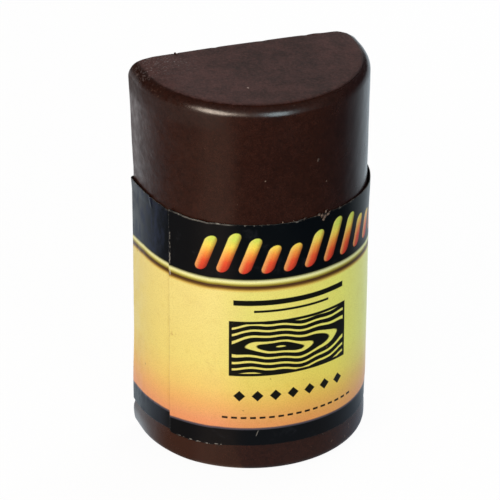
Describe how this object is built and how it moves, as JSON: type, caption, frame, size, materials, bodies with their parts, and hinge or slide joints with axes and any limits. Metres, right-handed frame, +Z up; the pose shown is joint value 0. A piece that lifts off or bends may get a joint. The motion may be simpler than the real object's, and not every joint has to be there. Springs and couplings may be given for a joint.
{
  "type": "furniture repair wax stick",
  "caption": "Short half-round stick of soft brown filler wax, standing on its end, wrapped round the middle in a glued paper label; used to fill scratches and dents in wood.",
  "frame": {"origin": "on the standing surface, under the middle of the bounding box", "axes": "+Z up along the stick, -Y out of the round front, +Y out of the flat back, X across the width"},
  "size_m": [0.0326, 0.0194, 0.056],
  "materials": {
    "wax": "soft brown filler wax, cast, with a low satin sheen",
    "paper": "coated paper, printed with dark bands over a yellow to orange field"
  },
  "bodies": {
    "root": {"wax_stick": "wax", "label": "paper"}
  },
  "joints": []
}
